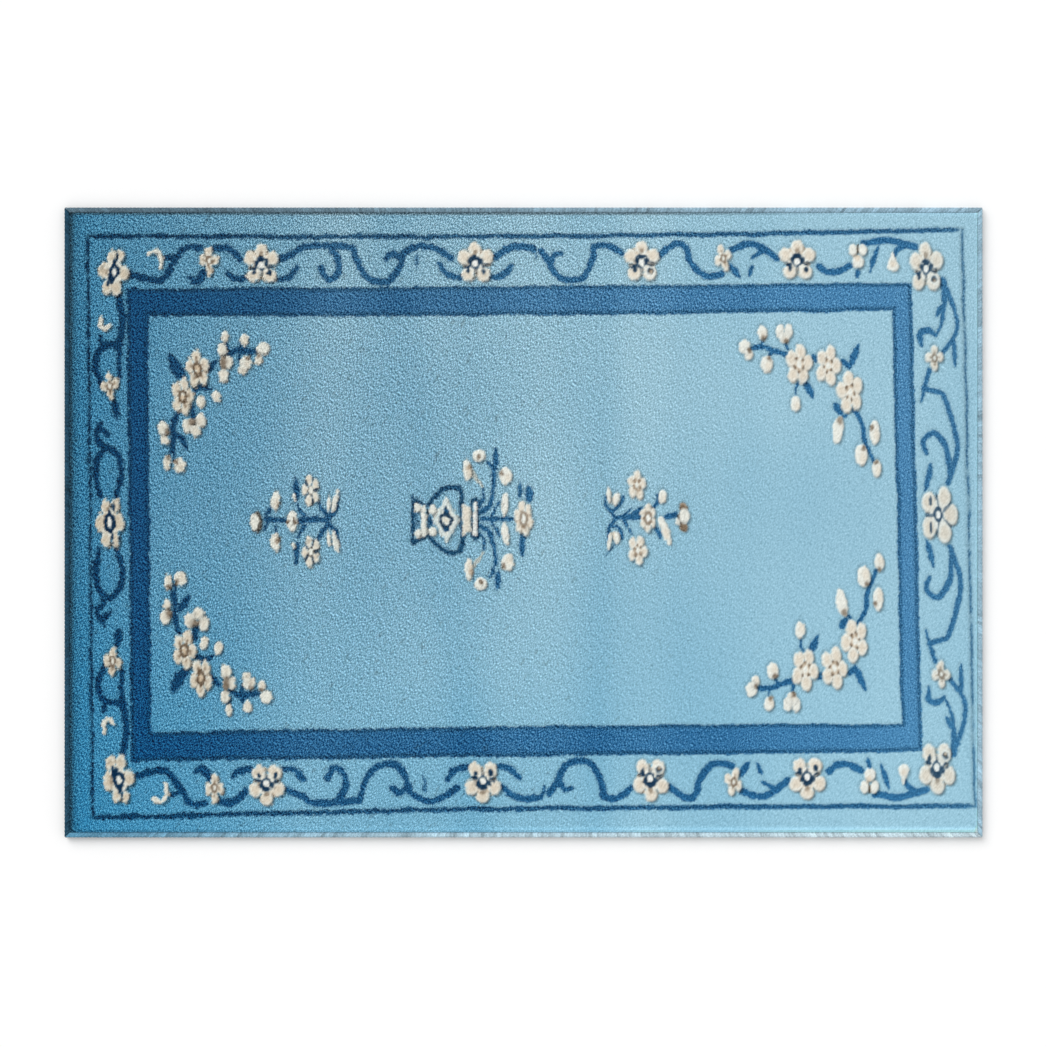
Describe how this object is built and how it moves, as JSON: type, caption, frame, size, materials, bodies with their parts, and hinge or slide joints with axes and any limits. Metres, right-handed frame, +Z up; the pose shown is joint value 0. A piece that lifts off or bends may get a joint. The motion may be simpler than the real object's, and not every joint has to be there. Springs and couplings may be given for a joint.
{
  "type": "hand-tufted rug",
  "caption": "Rectangular hand-tufted cut-pile rug in sky blue with a darker band, a vine and blossom border, corner sprays and a vase of flowers, with an overcast yarn edge.",
  "frame": {"origin": "on the floor, under the middle of the rug", "axes": "+X along the rug towards the top of its vase, +Y across it, +Z up through the pile"},
  "size_m": [0.915, 0.628, 0.0132],
  "materials": {
    "pile": "cut wool pile, matt, with a soft nap",
    "edge_yarn": "overcast wool yarn, matt"
  },
  "bodies": {
    "root": {"pile_panel": "pile", "serged_edge_front": "edge_yarn", "serged_edge_right": "edge_yarn", "serged_edge_back": "edge_yarn", "serged_edge_left": "edge_yarn"}
  },
  "joints": []
}
